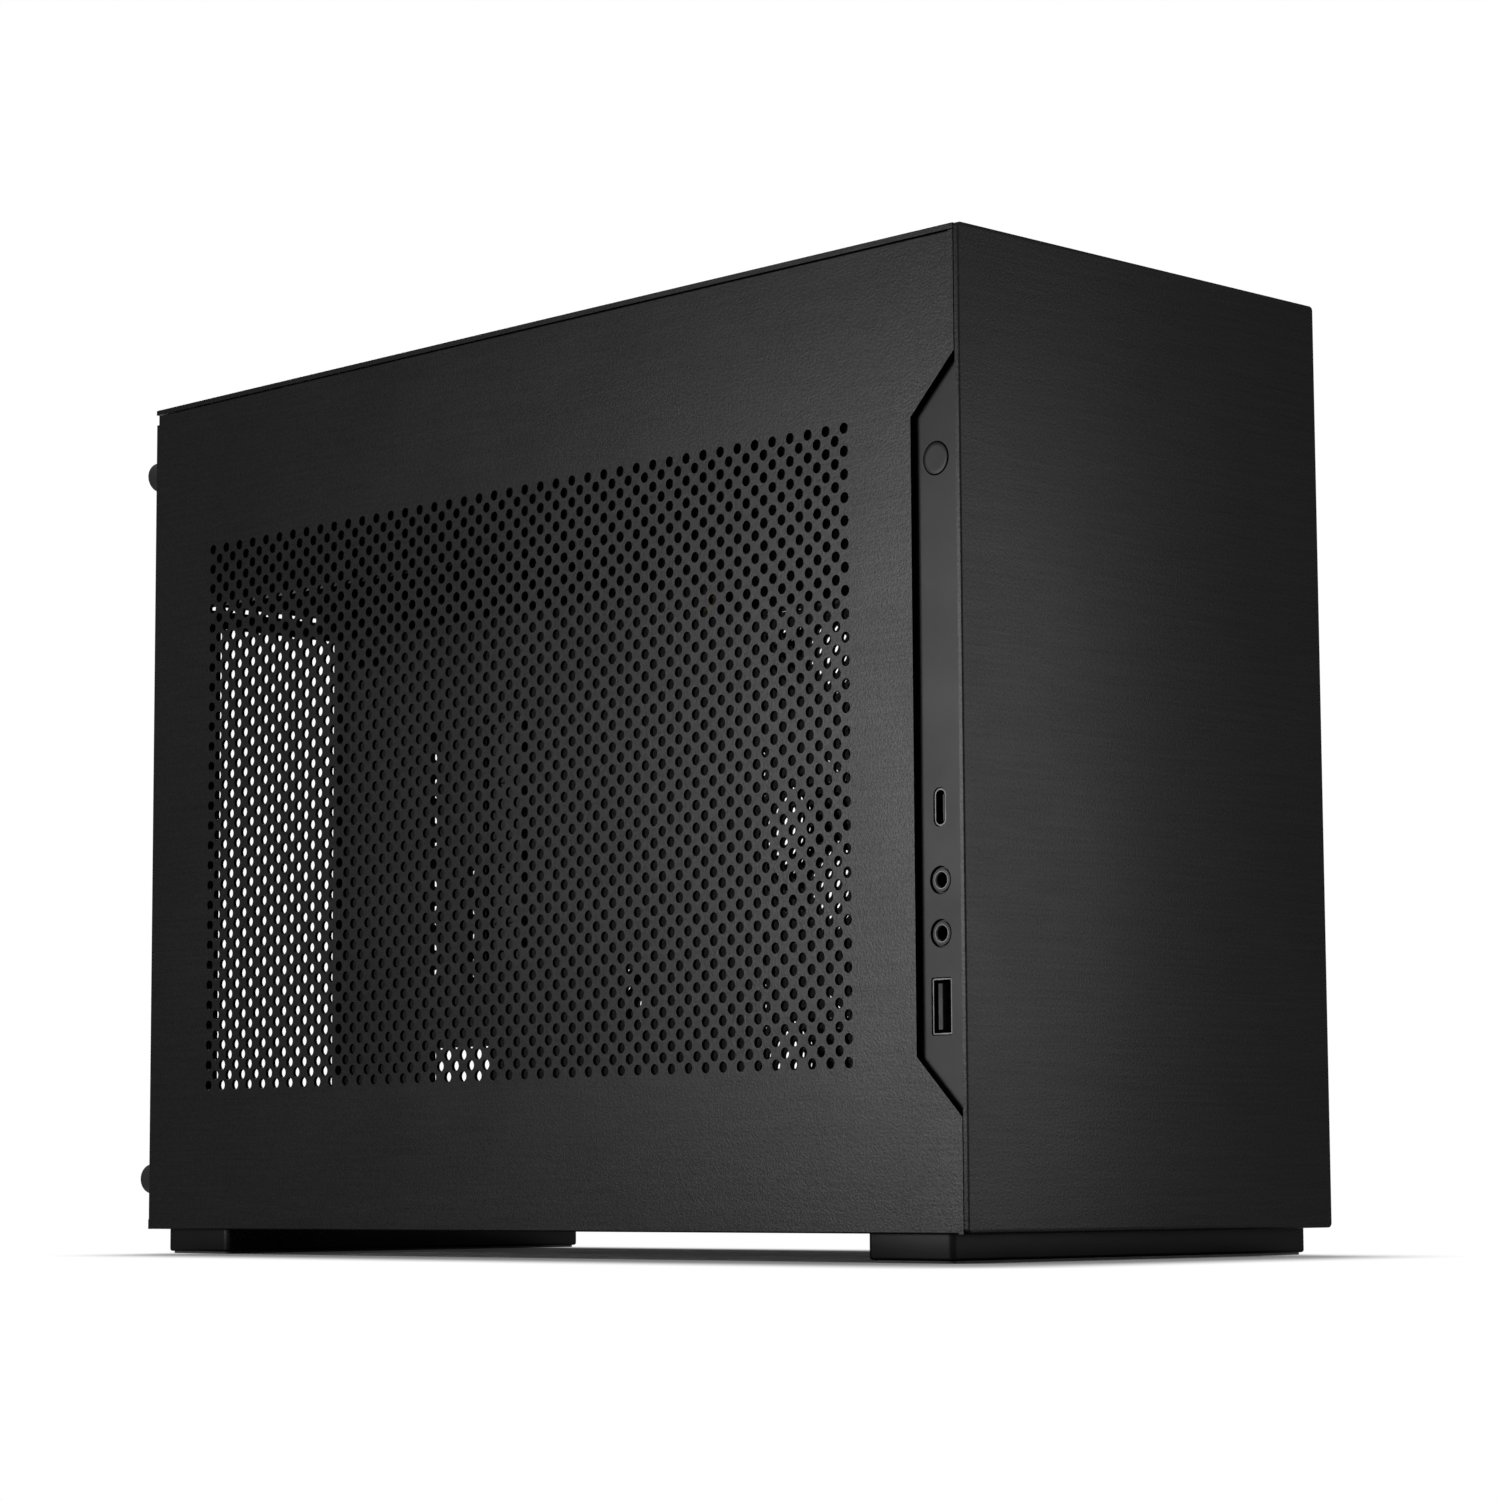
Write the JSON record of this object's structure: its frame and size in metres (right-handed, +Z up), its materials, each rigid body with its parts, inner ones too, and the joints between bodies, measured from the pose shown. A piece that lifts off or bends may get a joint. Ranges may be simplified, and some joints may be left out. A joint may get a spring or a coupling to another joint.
{
  "type": "mini itx computer case",
  "caption": "Upright two-chamber computer case with perforated sliding side panels, front sockets in a side notch, ventilated slot covers and broad feet.",
  "frame": {"origin": "floor level under the middle of the whole case, its rear screws and slot shelf counted in", "axes": "+Z up, front panel towards -Y, side with the front sockets towards -X"},
  "size_m": [0.14, 0.336, 0.251],
  "materials": {
    "anodised_aluminium": "fine blasted and anodised, black, satin",
    "satin_black": "fine satin",
    "coated_steel": "powder coated, black, matt",
    "blackened_steel": "blackened, satin",
    "dark_nickel": "dark nickel plate",
    "black_plastic": "moulded, matt",
    "circuit_board": "lacquered board",
    "brass": "turned",
    "rubber": "matt"
  },
  "bodies": {
    "case": {"front_panel": "anodised_aluminium", "top_panel": "anodised_aluminium", "base_frame": "coated_steel", "front_frame": "coated_steel", "rear_frame": "coated_steel", "radiator_bracket": "coated_steel", "motherboard_tray": "coated_steel", "bay_divider": "coated_steel", "psu_bracket": "coated_steel", "riser_bracket": "coated_steel", "io_strip": "satin_black", "power_switch": "black_plastic", "usb_c_socket": "dark_nickel", "usb_a_socket": "dark_nickel", "headphone_jack": "black_plastic", "microphone_jack": "black_plastic", "io_board": "circuit_board", "riser_board": "circuit_board", "riser_socket": "black_plastic", "foot_front": "satin_black", "foot_rear": "satin_black", "foot_sole_front": "rubber", "foot_sole_rear": "rubber", "slot_cover_1": "coated_steel", "slot_screw_1": "blackened_steel", "slot_cover_2": "coated_steel", "slot_screw_2": "blackened_steel", "slot_cover_3": "coated_steel", "slot_screw_3": "blackened_steel", "foot_screw_1": "blackened_steel", "standoff_1": "brass", "front_stud_1": "dark_nickel", "foot_screw_2": "blackened_steel", "standoff_2": "brass", "front_stud_2": "dark_nickel", "foot_screw_3": "blackened_steel", "standoff_3": "brass", "front_stud_3": "dark_nickel", "foot_screw_4": "blackened_steel", "standoff_4": "brass", "front_stud_4": "dark_nickel", "top_spacer_1": "dark_nickel", "top_spacer_2": "dark_nickel", "top_spacer_3": "dark_nickel", "top_spacer_4": "dark_nickel", "top_spacer_5": "dark_nickel", "top_spacer_6": "dark_nickel"},
    "left_panel": {"left_panel": "anodised_aluminium"},
    "right_panel": {"right_panel": "anodised_aluminium"},
    "power_button": {"power_button": "satin_black"},
    "thumbscrew_left_top": {"thumbscrew_left_top": "blackened_steel"},
    "thumbscrew_left_bottom": {"thumbscrew_left_bottom": "blackened_steel"},
    "thumbscrew_right_top": {"thumbscrew_right_top": "blackened_steel"},
    "thumbscrew_right_bottom": {"thumbscrew_right_bottom": "blackened_steel"}
  },
  "joints": [
    {"name": "left_panel_slide", "type": "slide", "parent": "case", "child": "left_panel", "axis": [0, 1, 0], "range_m": [0, 0.33]},
    {"name": "right_panel_slide", "type": "slide", "parent": "case", "child": "right_panel", "axis": [0, 1, 0], "range_m": [0, 0.33]},
    {"name": "power_button_press", "type": "slide", "parent": "case", "child": "power_button", "axis": [1, 0, 0], "range_m": [0, 0.001], "stiffness_N_per_m": 400},
    {"name": "thumbscrew_left_top_turn", "type": "hinge", "parent": "left_panel", "child": "thumbscrew_left_top", "pos_m": [-0.063, 0.158, 0.2323], "axis": [0, 1, 0], "continuous": true},
    {"name": "thumbscrew_left_bottom_turn", "type": "hinge", "parent": "left_panel", "child": "thumbscrew_left_bottom", "pos_m": [-0.063, 0.158, 0.02165], "axis": [0, 1, 0], "continuous": true},
    {"name": "thumbscrew_right_top_turn", "type": "hinge", "parent": "right_panel", "child": "thumbscrew_right_top", "pos_m": [0.063, 0.158, 0.2323], "axis": [0, 1, 0], "continuous": true},
    {"name": "thumbscrew_right_bottom_turn", "type": "hinge", "parent": "right_panel", "child": "thumbscrew_right_bottom", "pos_m": [0.063, 0.158, 0.02165], "axis": [0, 1, 0], "continuous": true}
  ]
}
